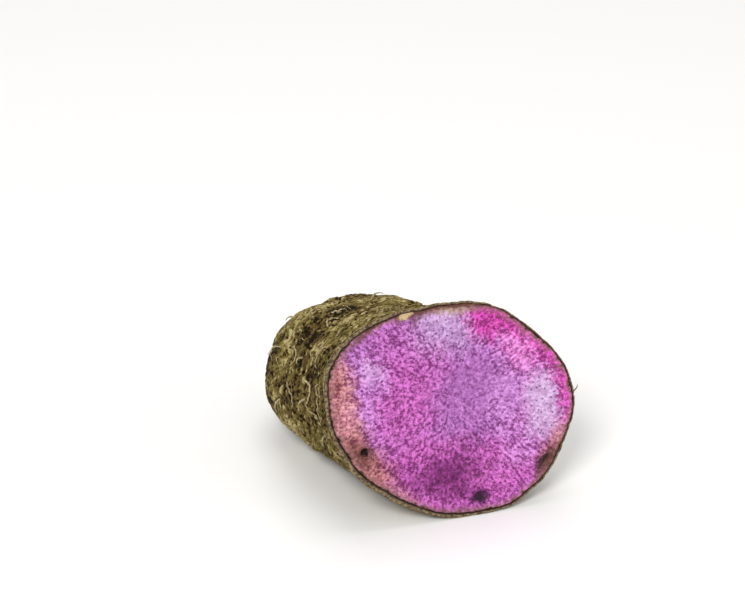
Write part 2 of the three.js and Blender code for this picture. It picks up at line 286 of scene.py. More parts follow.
class YamFleshSettings(bpy.types.PropertyGroup):
    mesh_edge: length_property("Mesh edge", "Length of the triangles of the cut", 0.0004)
    grain_height: length_property("Grain height", "Height of the grains of the cut", 0.00009)
    purple: colour_property("Purple", "Flesh in the middle", "#A865AE")
    orchid: colour_property("Orchid", "Paler flesh round the middle", "#C885CE")
    lavender: colour_property("Lavender", "Bluish flesh near the top", "#BA93C7")
    pale_lilac: colour_property("Pale lilac", "Palest flesh", "#CDA7D5")
    pink: colour_property("Pink", "Flesh beside the hottest colour", "#E585D2")
    magenta: colour_property("Magenta", "Strong flesh at the left and the bottom", "#B855A8")
    hot_magenta: colour_property("Hot magenta", "Flesh under the skin at the upper right", "#C03A9B")
    deep_purple: colour_property("Deep purple", "Darkest flesh", "#732667")
    salmon: colour_property("Salmon", "Flesh that has dried to a brownish pink", "#CA868E")
    rust: colour_property("Rust", "Flesh that has dried further", "#945850")
    bruise: colour_property("Bruise", "Browned flesh", "#5E382D")
    cream: colour_property("Cream", "Small starchy spot", "#CFB488")
    spot: colour_property("Spot", "Small dark spot", "#3E0F3C")
    # Painted shade: the near-black colour painted inside the small holes.
    painted_hole_shade: colour_property("Hole", "Inside of the small hole", "#1E0F0C")


class YamRootletSettings(bpy.types.PropertyGroup):
    count: IntProperty(
        name="Fine rootlets", description="Number of thread-like rootlets", default=44, min=0, max=400)
    root_radius: length_property("Root radius", "Radius of a short root where it leaves the skin", 0.0006)
    thread_radius: length_property("Thread radius", "Radius of a fine rootlet at its foot", 0.00024)
    dry_root: colour_property("Dry root", "Colour of the dried roots", "#CDBB94")


class YamStageSettings(bpy.types.PropertyGroup):
    floor: colour_property("Floor", "Colour of the floor", "#F4F3F1")
    key_power: FloatProperty(
        name="Key light", description="Power of the main soft light", default=28, min=0, unit="POWER")
    fill_power: FloatProperty(
        name="Fill light", description="Power of the light at the right", default=7, min=0, unit="POWER")
    top_power: FloatProperty(
        name="Top light", description="Power of the light overhead", default=17, min=0, unit="POWER")
    sky_strength: FloatProperty(
        name="Room light", description="Strength of the light from all round", default=0.48, min=0)


def ease(value):
    value = np.clip(value, 0, 1)
    return value ** 2 * (3 - 2 * value)


def mix(first, second, share):
    return first + (second - first) * share


def unit(vectors):
    return vectors / np.linalg.norm(vectors, axis=-1, keepdims=True)


def curve(controls, parts):
    """Points of the smooth curve that runs from the first control point to the last."""
    points = np.array(controls, float)[:, None] * np.ones((len(parts), 1))
    while len(points) > 1:
        points = mix(points[:-1], points[1:], parts[:, None])
    return points[0]


def cut_radius(angle):
    """Radius of the cut at an angle: a smooth closed curve through CUT_RADII."""
    count = len(CUT_RADII)
    place = np.mod(angle, TURN) / TURN * count
    index = np.floor(place).astype(int)
    f = place - index
    a, b, c, d = (CUT_RADII[(index + k) % count] for k in (-1, 0, 1, 2))
    return b + 0.5 * f * (c - a + f * (2 * a - 5 * b + 4 * c - d + f * (3 * (b - c) + d - a)))


def oval_radius(oval, angle):
    half_width = np.where(np.cos(angle) > 0, oval["right"], oval["left"])
    return 1 / np.hypot(np.cos(angle) / half_width, np.sin(angle) / oval["half_height"])


def spine_points(along):
    along = np.asarray(along, float)[..., None]
    rest = 1 - along
    weights = (rest ** 3, 3 * along * rest ** 2, 3 * along ** 2 * rest, along ** 3)
    return CUT_CENTRE + sum(weight * control for weight, control in zip(weights, SPINE))


def section_axes(along):
    """The two directions that a section of the body is drawn in."""
    turn = SECTION_TURN["angle"] * ease(np.asarray(along, float) / SECTION_TURN["reached_at"])
    zero = np.zeros_like(turn)
    across = np.stack([np.cos(turn), np.sin(turn), zero], -1)
    up = np.stack([-np.sin(turn) * math.sin(CUT_LEAN), np.cos(turn) * math.sin(CUT_LEAN),
                   zero + math.cos(CUT_LEAN)], -1)
    return across, up


def smooth_points(along, angle):
    """Points of the smooth body, before lumps, knobs and folds."""
    to_waist = 1 - (1 - np.clip(along / WAIST["reached_at"], 0, 1)) ** 2
    to_end = ease((along - FAR_END["starts_at"]) / (FAR_END["reached_at"] - FAR_END["starts_at"]))
    radius = mix(cut_radius(angle), oval_radius(WAIST, angle), to_waist)
    radius = mix(radius, oval_radius(FAR_END, angle), to_end)
    radius = radius * np.sqrt(1 - np.clip(along, 0, 1) ** END_BLUNTNESS)
    across, up = section_axes(along)
    sideways = (radius * np.cos(angle))[..., None] * across
    return spine_points(along) + sideways + (radius * np.sin(angle))[..., None] * up


def scatter(x, y, z):
    """A fixed number from 0 to 1 for each point of a lattice."""
    x, y, z = (np.asarray(v, np.int64).astype(np.uint32) for v in (x, y, z))
    mixed = x * np.uint32(374761393) ^ y * np.uint32(668265263) ^ z * np.uint32(1274126177)
    mixed = (mixed ^ (mixed >> np.uint32(13))) * np.uint32(1103515245)
    return (mixed ^ (mixed >> np.uint32(16))) / 0xffffffff


def noise(points, size):
    """Smooth noise from -1 to 1, with one lattice point every size millimetres."""
    place = points / size
    low = np.floor(place).astype(np.int64)
    u, v, w = np.moveaxis(ease(place - low), -1, 0)
    x, y, z = np.moveaxis(low, -1, 0)

    def row(b, c):
        return mix(scatter(x, y + b, z + c), scatter(x + 1, y + b, z + c), u)

    return 2 * mix(mix(row(0, 0), row(1, 0), v), mix(row(0, 1), row(1, 1), v), w) - 1


# A turn that keeps one lattice of noise from lining up with another.
FLAKE_TURN = np.array([[0.0, -0.8, -0.6], [0.8, 0.36, -0.48], [0.6, -0.48, 0.64]])


def rough_noise(points, size, octaves):
    """Noise on noise: each octave has half the size and half the height of the last."""
    total = 0
    for octave in range(octaves):
        total = total + noise(points, size / 2 ** octave) / 2 ** octave
        points = points @ FLAKE_TURN + 17.3
    return total


def cells(points, size):
    """Distances to the nearest and second nearest of points scattered one to a cube."""
    place = points / size
    low = np.floor(place).astype(np.int64)
    nearest = np.full(len(points), 9.0)
    second = np.full(len(points), 9.0)
    for step in itertools.product((-1, 0, 1), repeat=3):
        cube = low + step
        x, y, z = cube.T
        inside = np.stack([scatter(x, y, z), scatter(y + 71, z, x), scatter(z + 137, x, y)], -1)
        distance = np.linalg.norm(cube + inside - place, axis=-1)
        second = np.minimum(second, np.maximum(distance, nearest))
        nearest = np.minimum(nearest, distance)
    return nearest * size, second * size


def unrolled(along, angle, from_angle):
    """Place on the skin unrolled flat, with the angle measured from a given one."""
    turn = np.arctan2(np.sin(angle - from_angle), np.cos(angle - from_angle))
    return np.stack(np.broadcast_arrays(along * LENGTH, turn * UNROLLED_RADIUS), -1)


def fold_distance(along, angle, start, end):
    middle = math.radians((start[1] + end[1]) / 2)
    first = unrolled(start[0], math.radians(start[1]), middle)
    line = unrolled(end[0], math.radians(end[1]), middle) - first
    offset = unrolled(along, angle, middle) - first
    part = np.clip(offset @ line / (line @ line), 0, 1)
    return np.linalg.norm(offset - part[..., None] * line, axis=-1)


def stands_out(along, angle, points):
    """How far the uneven body stands out of the smooth one."""
    height = sum(much * noise(points, size) for size, much in LUMPS)
    for knob_along, knob_angle, radius, much in KNOBS:
        knob_angle = math.radians(knob_angle)
        away = unrolled(along, angle, knob_angle) - unrolled(knob_along, knob_angle, knob_angle)
        height = height + much * np.exp(-(np.linalg.norm(away, axis=-1) / radius) ** 2)
    for start, end, depth, width in FOLDS:
        height = height - depth * np.exp(-(fold_distance(along, angle, start, end) / width) ** 2)
    return height * mix(CALM_NEAR_CUT["share"], 1, ease(along / CALM_NEAR_CUT["up_to"]))


def body_points(along, angle):
    """Points of the uneven body, and the way out of it at each."""
    points = smooth_points(along, angle)
    height = stands_out(along, angle, points)
    points = points + height[..., None] * unit(points - spine_points(np.minimum(along, FAN_STARTS_AT)))
    points[..., 2] = np.maximum(points[..., 2], 0)
    return points, unit(points - spine_points(np.minimum(along, FAN_STARTS_AT)))


def body_point(along, degrees):
    """One point of the body, and the way out of it."""
    points, out = body_points(np.array([along]), np.array([math.radians(degrees)]))
    return points[0], out[0]


def scar_places(count):
    """Where the small root scars are: point, radius and height of each."""
    draw = np.random.default_rng(41)
    small = np.stack([draw.uniform(0.03, 0.98, count), draw.uniform(0, 360, count),
                      draw.uniform(0.8, 1.5, count), draw.uniform(0.35, 0.7, count)], -1)
    along, angle, radius, height = np.concatenate([SCARS, small]).T
    points, _ = body_points(along, np.radians(angle))
    return zip(points, radius, height)


def skin_relief(settings, along, points):
    """Relief of the cork in millimetres, how much soil and painted shade lie in it, and where its scars
    are.
    """
    crack_depth = settings.crack_depth / MM
    wrinkle_depth = settings.wrinkle_depth / MM
    lumps = rough_noise(points, CORK_LUMPS["size"], 4)
    flakes = noise(points @ FLAKE_TURN, CORK_FLAKES["size"])
    # Cracks follow the bent borders of plates, and some places have more of them than others.
    bent = points + 0.9 * np.stack([noise(points + k * 31.7, 3.1) for k in range(3)], -1)
    nearest, second = cells(bent, settings.plate_size / MM)
    crack = 1 - ease((second - nearest) / CRACK_WIDTH)
    cracked = ease((noise(points + 9, 17) + 0.75) / 0.8)
    # Wrinkles run round the body in waves, and there are fewest near the cut.
    waved = along * LENGTH + 2.2 * noise(points + 23, 9)
    round_body = points / 8 + (waved / WRINKLES_APART)[:, None] * np.array([0.36, 0.8, 0.48])
    wrinkle = ease(1 - np.abs(rough_noise(round_body, 1, 2)) / 0.3)
    wrinkled = ease((noise(points + 50, 15) + 0.35) / 0.6) * (0.35 + 0.65 * ease(along / 0.4))
    relief = CORK_LUMPS["height"] * lumps + CORK_FLAKES["height"] * flakes
    relief -= crack_depth * crack * cracked + wrinkle_depth * wrinkle * wrinkled
    soil = 0.6 * crack * cracked + 0.5 * wrinkle * wrinkled - 0.5 * lumps - 0.3 * flakes
    soil += 0.5 * noise(points + 5, 12) + 0.25 * noise(points + 40, 6)
    # At the left, painted shade darkens the crease behind the lip of the cut.
    painted_crease_shade = np.exp(-((along * LENGTH - 2.6) / 1.8) ** 2) * ease(-(points[:, 0] + 20) / 20)
    soil += 1.1 * painted_crease_shade * (1 + 0.5 * noise(points, 5))
    # A scar is a pale knob with a small hollow in its middle and soil in a ring round it.
    scar = np.zeros(len(points))
    for place, radius, height in scar_places(settings.scars):
        away = np.linalg.norm(points - place, axis=-1) / radius * (1 + 0.3 * flakes)
        relief += height * (np.exp(-away ** 2) - 0.8 * np.exp(-(away / 0.35) ** 2))
        soil += height * (0.9 * np.exp(-((away - 1.5) / 0.5) ** 2) - 0.7 * np.exp(-away ** 2))
        scar = np.maximum(scar, np.exp(-away ** 2))
    for place_along, degrees, radius, much in SOIL_AND_SHADE_PATCHES:
        place, _ = body_point(place_along, degrees)
        away = np.linalg.norm(points - place, axis=-1) / radius
        soil += much * np.exp(-(away * (1 + 0.35 * noise(points, 3.7))) ** 2)
    calm_near_cut = mix(0.45, 1, ease(along / 0.05))
    return np.clip(relief * calm_near_cut, *CORK_LIMITS), soil, scar


def skin_points(settings, along, angle):
    """Points of the finished skin, with the soil, painted shade and scars at each."""
    points, out = body_points(along, angle)
    relief, soil, scar = skin_relief(settings, along, points)
    points = points + relief[:, None] * out
    points[:, 2] = np.maximum(points[:, 2], 0)
    return points, soil, scar


def ring_angles(count):
    return np.arange(count) / count * TURN


def ring_length(along):
    points = smooth_points(np.full(RING_SAMPLES, along), ring_angles(RING_SAMPLES))
    return np.linalg.norm(points - np.roll(points, -1, 0), axis=-1).sum()


def ring_count(along, edge):
    """How many points a ring round the body needs for triangles of a given edge."""
    return max(LEAST_IN_RING, round(ring_length(along) / edge))


def ring_places(edge):
    """Places along the body whose rings lie an even way apart over the surface."""
    places = 1 - (1 - np.linspace(0, 1, ALONG_SAMPLES)) ** 2
    sides = [smooth_points(places, np.full(ALONG_SAMPLES, side)) for side in ring_angles(4)]
    gaps = np.mean([np.linalg.norm(np.diff(side, axis=0), axis=-1) for side in sides], 0)
    travelled = np.concatenate([[0], np.cumsum(gaps)])
    rows = round(travelled[-1] / (edge * ROW_SPACING))
    return np.interp(np.arange(rows) / rows * travelled[-1], travelled, places)


def stitch(near, far):
    """Triangles between two rings of points, each given as its first point and its count."""
    (near_first, near_count), (far_first, far_count) = near, far
    near_steps = np.arange(1, near_count + 1) / near_count
    far_steps = np.arange(1, far_count + 1) / far_count
    order = np.argsort(np.concatenate([near_steps, far_steps]), kind="stable")
    is_near = order < near_count
    i = np.cumsum(is_near) - is_near
    j = np.cumsum(~is_near) - ~is_near
    a = near_first + i % near_count
    b = far_first + j % far_count
    following = np.where(is_near, near_first + (i + 1) % near_count, far_first + (j + 1) % far_count)
    keep = following != np.where(is_near, a, b)
    return np.stack([a, b, following], -1)[keep]


def closed_surface(rings):
    """One closed surface from rings of points, and the number of the ring behind each triangle."""
    firsts = np.concatenate([[0], np.cumsum([len(ring) for ring in rings])])
    spans = [(firsts[k], len(ring)) for k, ring in enumerate(rings)]
    bands = [stitch(near, far) for near, far in zip(spans, spans[1:])]
    numbers = np.concatenate([np.full(len(band), k) for k, band in enumerate(bands)])
    return np.concatenate(rings), np.concatenate(bands), numbers


def make_piece(name, points, triangles, materials, slots=None, **values):
    """A mesh object in metres from points in millimetres, with a number at each point per value."""
    mesh = bpy.data.meshes.new(name)
    mesh.vertices.add(len(points))
    mesh.vertices.foreach_set("co", (points * MM).astype(np.float32).ravel())
    mesh.loops.add(len(triangles) * 3)
    mesh.loops.foreach_set("vertex_index", triangles.astype(np.int32).ravel())
    mesh.polygons.add(len(triangles))
    mesh.polygons.foreach_set("loop_start", np.arange(len(triangles), dtype=np.int32) * 3)
    for material in materials:
        mesh.materials.append(material)
    if slots is not None:
        mesh.polygons.foreach_set("material_index", slots.astype(np.int32))
    for value_name, numbers in values.items():
        attribute = mesh.attributes.new(value_name, "FLOAT", "POINT")
        attribute.data.foreach_set("value", numbers.astype(np.float32))
    mesh.update(calc_edges=True)
    mesh.shade_smooth()
    if mesh.validate():
        raise RuntimeError(f"{name}: the mesh has bad faces")
    piece = bpy.data.objects.new(name, mesh)
    bpy.context.scene.collection.objects.link(piece)
    return piece


def attach(piece):
    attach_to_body(piece, BODY)
    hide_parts(SOLID)


def lip_width(angle):
    """Width of the lip of skin at an angle round the cut."""
    wide = np.cos(angle - LIP_WIDTH["widest_at"]) * 0.5 + 0.5
    points, _ = body_points(np.zeros(len(angle)), angle)
    uneven = LIP_WIDTH["unevenness"] * (noise(points, 8) + 0.6 * noise(points, 2.4))
    return mix(LIP_WIDTH["least"], LIP_WIDTH["most"], ease(wide)) + uneven


def edge_profile(edge, from_edge, depth):
    """A ring that lies in from the edge of the cut, and below its plane."""
    inward = np.array([0, math.cos(CUT_LEAN), -math.sin(CUT_LEAN)])
    reach = np.linalg.norm(edge - CUT_CENTRE, axis=-1)
    share = 1 - from_edge / reach
    return CUT_CENTRE + (edge - CUT_CENTRE) * share[:, None] + np.multiply.outer(depth, inward)


def inner_rings(thickness):
    """Rings of the hidden surface a given way under the skin, from the cut to the far end."""
    rings = []
    for along in ring_places(HIDDEN_EDGE):
        angle = ring_angles(ring_count(along, HIDDEN_EDGE))
        points, out = body_points(np.full(len(angle), along), angle)
        if along * LENGTH > HIDDEN_STARTS_AT:
            rings.append(points - thickness * out)
    points, out = body_points(np.ones(1), np.zeros(1))
    rings.append(points - thickness * out)
    return rings


def add_node(material, kind, inputs=(), **settings):
    """Adds a shader node with its settings and links, and gives its outputs. Inputs are listed in
    order or by socket. Each is a value, another node's output, or a colour's three numbers."""
    node = material.node_tree.nodes.new("ShaderNode" + kind)
    for name, value in settings.items():
        setattr(node, name, value)
    by_socket = inputs if isinstance(inputs, dict) else dict(enumerate(inputs))
    for name, value in by_socket.items():
        socket = node.inputs[name]
        if isinstance(value, bpy.types.NodeSocket):
            material.node_tree.links.new(value, socket)
        else:
            socket.default_value = (*value, 1) if socket.type == "RGBA" else value
    return node.outputs


# Settings that many nodes share, the Mix node's colour sockets and the Gabor node's flat angle.
SMOOTH = {"interpolation_type": "SMOOTHSTEP"}
IN_COLOUR = {"data_type": "RGBA"}
FIRST = 6
SECOND = 7
MIXED = 2
GABOR_ANGLE = 4
BUMP_STRENGTH = 0.8


def new_material(name):
    """An empty material, and the function that adds its nodes."""
    material = bpy.data.materials.new(name)
    material.use_nodes = True
    material.node_tree.nodes.clear()
    return material, functools.partial(add_node, material)


def place_in_mm(node):
    """The surface's own coordinates, in millimetres."""
    return node("VectorMath", {0: node("TexCoord")["Object"], "Scale": 1 / MM}, operation="SCALE")[0]


def weighted_sum(node, total, terms):
    """Adds terms to a total. Each is a value, the level it is measured from, and a weight."""
    for value, level, weight in terms:
        if level:
            value = node("Math", (value, level), operation="SUBTRACT")[0]
        total = node("Math", (value, weight, total), operation="MULTIPLY_ADD")[0]
    return total


def eased_product(node, product, rows):
    """Multiplies by values that each ease, from one level to another, between two ends."""
    for row in rows:
        share = node("MapRange", row, **SMOOTH)[0]
        product = node("Math", (product, share), operation="MULTIPLY")[0]
    return product


def paint_layers(node, colour, value, layers):
    """Lays colours one over another, each where the value passes from its low to its high."""
    for low, high, strength, layer in layers:
        share = node("MapRange", (value, low, high, 0, strength), **SMOOTH)[0]
        colour = node("Mix", {0: share, FIRST: colour, SECOND: layer}, **IN_COLOUR)[MIXED]
    return colour


def finish_material(material, relief=None, **inputs):
    """Gives the material its surface shader and output. Relief is a height and its depth in m."""
    named = {name.replace("_", " "): value for name, value in inputs.items()}
    if relief:
        height, depth = relief
        named["Normal"] = add_node(material, "Bump", {
            "Height": height, "Distance": depth, "Strength": BUMP_STRENGTH})["Normal"]
    shader = add_node(material, "BsdfPrincipled", named)
    add_node(material, "OutputMaterial", {"Surface": shader["BSDF"]})
    return material


def cork_material(settings):
    """Cork: the dead outer layer of the tuber, cracked as it grew and dried in the air. Soil stays
    in the cracks and rubbing pales the plates, and painted shade darkens the crease behind the lip
    and a patch beside the rim. It scatters light, with next to no gloss."""
    material, node = new_material("yam_cork")
    place = place_in_mm(node)
    # The soil attribute also carries painted shade behind the lip and beside the rim, and it darkens the
    # tone.
    soil, scar, along = (
        node("Attribute", attribute_name=name)["Fac"] for name in ("soil", "scar", "along"))
    # Patterns by size in millimetres, detail and roughness.
    flakes, blotches, grit, broad = (
        node("TexNoise", {"Vector": place, "Scale": 1 / size, "Detail": detail, "Roughness": rough})["Fac"]
        for size, detail, rough in ((3, 4, 0.6), (8, 2, 0.6), (0.9, 2, 0.6), (19, 1, 0.5)))

    # Fibres and fine wrinkles run round the body in waves, a millimetre or two apart.
    waved = node("Math", (blotches, 22, along), operation="MULTIPLY_ADD")[0]
    steep = node("CombineXYZ", [
        node("Math", (waved, share), operation="MULTIPLY")[0] for share in (0.35, 0.8, 0.4)])[0]
    drawn_out = node("VectorMath", (place, (0.12, 0.12, 0.12), steep), operation="MULTIPLY_ADD")[0]
    fibres = node("TexNoise", {
        "Vector": drawn_out, "Scale": 0.55, "Detail": 3, "Roughness": 0.55})["Fac"]
    from_wrinkle = node("Math", (node("Math", (fibres, 0.5), operation="SUBTRACT")[0],),
                        operation="ABSOLUTE")[0]
    wrinkles = node("MapRange", (from_wrinkle, 0, 0.03, 1, 0), **SMOOTH)[0]

    # Dark pits a millimetre or two wide crowd together in some places, pale specks in others.
    cloud = node("TexNoise", {"Vector": place, "Scale": 1 / 2})["Color"]
    bent = node("VectorMath", (cloud, (2.6, 2.6, 2.6), place), operation="MULTIPLY_ADD")[0]
    from_pit, from_speck = (
        node("TexVoronoi", {"Vector": bent, "Scale": 1 / apart})["Distance"] for apart in (2.4, 3.1))
    pits = eased_product(node, 1, [(from_pit, 0.2, 0.48, 1, 0), (blotches, 0.36, 0.52)])
    specks = eased_product(node, 1, [(from_speck, 0.12, 0.36, 1, 0), (flakes, 0.4, 0.5)])

    # Fine height decides the tone: soil lies low, and what stands out is rubbed pale. Over a
    # centimetre or two the skin is rubbed paler in one place than in another.
    height = weighted_sum(node, 0, [
        (flakes, 0.5, 1.5), (fibres, 0.5, 1.4), (grit, 0.5, 1.3), (pits, 0, -0.75),
        (wrinkles, 0, -0.25), (specks, 0, 0.5)])
    tone = weighted_sum(node, height, [(soil, 0, -0.6), (broad, 0.5, 1.2), (blotches, 0.5, 0.9)])
    tone = node("Math", (tone, 0.74), operation="ADD")[0]
    olive = paint_layers(node, linear("#63562C"), blotches, [(0.4, 0.6, 1, linear("#5F4929"))])
    colour = paint_layers(node, settings.soil, tone, [
        (-0.05, 0.42, 1, olive), (0.42, 0.82, 1, settings.cork),
        (0.82, 1.25, 1, settings.worn_cork)])
    colour = paint_layers(node, colour, scar, [(0.35, 0.8, 0.8, linear("#C3B083"))])
    roughness = node("MapRange", (tone, 0.2, 0.9, 0.95, 0.75), **SMOOTH)[0]
    return finish_material(
        material, (height, 0.0006), Base_Color=colour, Roughness=roughness, Specular_IOR_Level=0.12)


def cut_edge_material(settings):
    """Cut cork: the knife leaves the skin's own thickness bare, a fibrous grey-brown band, with
    painted shade darkening it beside the flesh, where the groove lies."""
    material, node = new_material("yam_cut_cork")
    fibres = node("TexNoise", {
        "Vector": place_in_mm(node), "Scale": 1 / 1.1, "Detail": 5, "Roughness": 0.7})["Fac"]
    across_lip = node("Attribute", attribute_name="across_lip")["Fac"]
    colour = paint_layers(node, linear("#3E2A1C"), fibres, [(0.38, 0.62, 1, settings.cut_edge)])
    # Painted shade: the part of the band beside the groove is painted near-black.
    colour = paint_layers(node, colour, across_lip, [(0.5, 0.85, 1, linear("#35231A"))])
    return finish_material(
        material, (fibres, 0.0004), Base_Color=colour, Roughness=0.8, Specular_IOR_Level=0.35)


def flesh_material(settings):
    """Raw starchy flesh, cut with a knife: opened cells leave a fine moist grain, purple where the
    pigment is, pale where it is thin, and browned where it has met the air. Painted shade darkens
    the groove beside the skin and the small holes. Light enters a little way before it comes back,
    and the wet grains glint, and pale glints are painted into the colour as well."""
    material, node = new_material("yam_flesh")
    # Coordinates in the plane of the cut: across, up, out.
    on_cut = node("Mapping", {
        "Vector": place_in_mm(node), "Location": tuple(CUT_CENTRE),
        "Rotation": (math.pi / 2 - CUT_LEAN, 0, 0)}, vector_type="TEXTURE")[0]

    def wander(vector, size, reach, detail):
        """The vector moved about by noise of a size, in millimetres."""
        cloud = node("TexNoise", {
            "Vector": on_cut, "Scale": 1 / size, "Detail": detail, "Roughness": 0.6})["Color"]
        aside = node("VectorMath", (cloud, (0.5, 0.5, 0.5)), operation="SUBTRACT")[0]
        return node("VectorMath", (aside, (reach, reach, 0), vector), operation="MULTIPLY_ADD")[0]

    def paint(colour, zones, vector):
        """Paints soft oval zones of colour one over another."""
        for name, middle, sizes, turn, softness, strength in zones:
            local = node("Mapping", {
                "Vector": vector, "Location": (*middle, 0),
                "Rotation": (0, 0, math.radians(turn)), "Scale": (*sizes, 100)},
                vector_type="TEXTURE")[0]
            reach = node("VectorMath", (local,), operation="LENGTH")["Value"]
            share = node("MapRange", (reach, 1 - softness, 1 + softness, strength, 0), **SMOOTH)[0]
            colour = node("Mix", {0: share, FIRST: colour, SECOND: getattr(settings, name)},
                          **IN_COLOUR)[MIXED]
        return colour

    # Zones end in a scatter of grains, because each grain has one colour or the other.
    frayed = wander(on_cut, 1.3, 9, 1)
    colour = paint(settings.purple, FLESH_ZONES, wander(frayed, 7, 10, 3))

    # Grains a millimetre or two long, and faint strokes drawn out from the middle of the cut.
    # Patterns by size in millimetres, roughness and distortion.
    grains, fine, clumps = (
        node("TexNoise", {"Vector": on_cut, "Scale": 1 / size, "Detail": 2, "Roughness": rough,
                          "Distortion": distortion})["Fac"]
        for size, rough, distortion in ((1.45, 0.8, 0.2), (0.55, 0.6, 0), (4, 0.5, 0)))
    sides = node("SeparateXYZ", (wander(on_cut, 4, 30, 1),))
    above = node("Math", (sides["Y"], 8), operation="SUBTRACT")[0]
    direction = node("Math", (above, sides["X"]), operation="ARCTAN2")[0]
    strokes = node("TexGabor", {
        "Vector": on_cut, "Scale": 1 / 2.8, "Frequency": 1.5, "Anisotropy": 0.75,
        GABOR_ANGLE: node("Math", (direction, math.pi / 2), operation="ADD")[0]},
        gabor_type="2D")["Value"]
    crystals = node("TexVoronoi", {
        "Vector": wander(on_cut, 0.8, 1.6, 1), "Scale": 1 / 1.1}, voronoi_dimensions="2D")["Color"]
    shade = node("SeparateColor", (crystals,))["Red"]
    mottle = weighted_sum(node, 0, [
        (grains, 0, 0.42), (strokes, 0, 0.16), (clumps, 0, 0.22), (shade, 0, 0.12), (fine, 0, 0.08)])

    # The grain shows least in the middle, in pale flesh and in the deepest purple.
    from_middle = node("VectorMath", (wander(on_cut, 12, 50, 2), (10, 6, 0)),
                       operation="DISTANCE")["Value"]
    channels = node("SeparateColor", (colour,))
    green, red = channels["Green"], channels["Red"]

    contrast = eased_product(node, 1, [
        (green, 0.11, 0.3, 1, 0.5), (red, 0.15, 0.4, 0.6, 1), (from_middle, 6, 28, 0.75, 1.5)])
    lights = eased_product(node, contrast, [(mottle, 0.5, 0.61)])
    darks = eased_product(node, contrast, [(mottle, 0.51, 0.41), (green, 0.15, 0.35, 1, 0.65)])
    darker = node("Mix", {0: 1, FIRST: colour, SECOND: linear("#B47FAC")},
                  blend_type="MULTIPLY", **IN_COLOUR)[MIXED]
    paler = node("Mix", {0: 1, FIRST: colour, SECOND: colour}, blend_type="SCREEN", **IN_COLOUR)[MIXED]
    # Painted glints: pale specks painted into the colour where single opened cells would catch the light.
    painted_glints = eased_product(node, 1, [(fine, 0.58, 0.7, 0, 0.4), (red, 0.2, 0.5)])
    # Cut ends of the vessels show as dark dots a few millimetres apart, best in pale flesh.
    away = node("TexVoronoi", {"Vector": on_cut, "Scale": 1 / 3.3}, voronoi_dimensions="2D")["Distance"]
    vessels = eased_product(node, 1, [(away, 0.08, 0.16, 0.75, 0), (green, 0.1, 0.26, 0.25, 1)])
    for share, layer in [(darks, darker), (lights, paler), (painted_glints, linear("#FBC4EC")),
                         (vessels, linear("#4B2052"))]:
        colour = node("Mix", {0: share, FIRST: colour, SECOND: layer}, **IN_COLOUR)[MIXED]

    # The flesh beside the skin has dried and browned in a ragged band, and its darkest layer, at the
    # groove under the skin, is painted shade.
    from_skin = node("Attribute", attribute_name="from_skin")["Fac"]
    ragged = weighted_sum(node, from_skin, [(grains, 0.5, 5), (clumps, 0.5, 4)])
    colour = paint_layers(node, colour, ragged, [
        (3.2, 1.2, 0.5, linear("#A9737C")), (1.5, 0.4, 0.8, linear("#74503F")),
        (0.3, 0, 1, linear("#3A2519"))])
    colour = paint(colour, FLESH_MARKS, wander(on_cut, 1.8, 6, 2))

    height = weighted_sum(node, grains, [(fine, 0, 0.6), (strokes, 0, 0.15)])
    roughness = node("MapRange", (fine, 0.35, 0.7, 0.3, 0.55), **SMOOTH)[0]
    return finish_material(
        material, (height, 0.0006), Base_Color=colour, Roughness=roughness, Specular_IOR_Level=0.22,
        Subsurface_Weight=0.12, Subsurface_Radius=(1, 0.45, 0.7), Subsurface_Scale=0.0012)


def dry_root_material(settings):
    """Dried root: a thin fibrous thread with a dull straw-brown bark."""
    material, node = new_material("yam_dry_root")
    fibres = node("TexNoise", {
        "Vector": place_in_mm(node), "Scale": 1 / 0.8, "Detail": 4, "Roughness": 0.6})["Fac"]
    colour = paint_layers(node, linear("#7A6840"), fibres, [(0.35, 0.65, 1, settings.dry_root)])
    return finish_material(
        material, (fibres, 0.0002), Base_Color=colour, Roughness=0.85, Specular_IOR_Level=0.3)


def floor_material(settings):
    """Matt painted board: an even, pale studio floor."""
    material, _ = new_material("studio_floor")
    return finish_material(
        material, Base_Color=settings.floor, Roughness=0.9, Specular_IOR_Level=0.2)


class YAM_OT_skin(bpy.types.Operator):
    """Builds the corky skin, with its cut edge, as one closed shell"""
    bl_idname = "yam.skin"
    bl_label = "Skin"

    def execute(self, context):
        settings = context.scene.yam_skin
        edge = settings.mesh_edge / MM
        places = ring_places(edge)
        counts = [ring_count(along, edge) for along in places] + [1]
        along = np.repeat(np.append(places, 1.0), counts)
        angle = np.concatenate([ring_angles(count) for count in counts])
        outside, soil, scar = skin_points(settings, along, angle)
        outer = np.split(outside, np.cumsum(counts)[:-1])

        rim = outer[0]
        width = lip_width(ring_angles(len(rim)))
        lip = []
        for share, depth in LIP_PROFILE:
            rough = LIP_ROUGHNESS * rough_noise(rim + 5 * share, 1.5, 2) * min(1, 3 * share)
            lip.append(edge_profile(rim, share * width, depth + rough))
        inner = inner_rings(SKIN_THICKNESS)[::-1]
        points, triangles, numbers = closed_surface(inner + lip + outer)

        inside = sum(len(ring) for ring in inner)
        across_lip = np.repeat([share for share, _ in LIP_PROFILE], len(rim))
        before = np.zeros(inside + len(across_lip))
        piece = make_piece(
            "yam_skin", points, triangles, [cork_material(settings), cut_edge_material(settings)],
            slots=numbers < len(inner) + len(lip) - 1,
            across_lip=np.concatenate([np.ones(inside), across_lip, np.zeros(len(outside))]),
            soil=np.concatenate([before, soil]), scar=np.concatenate([before, scar]),
            along=np.concatenate([before, along * LENGTH]))
        attach(piece)
        return {"FINISHED"}


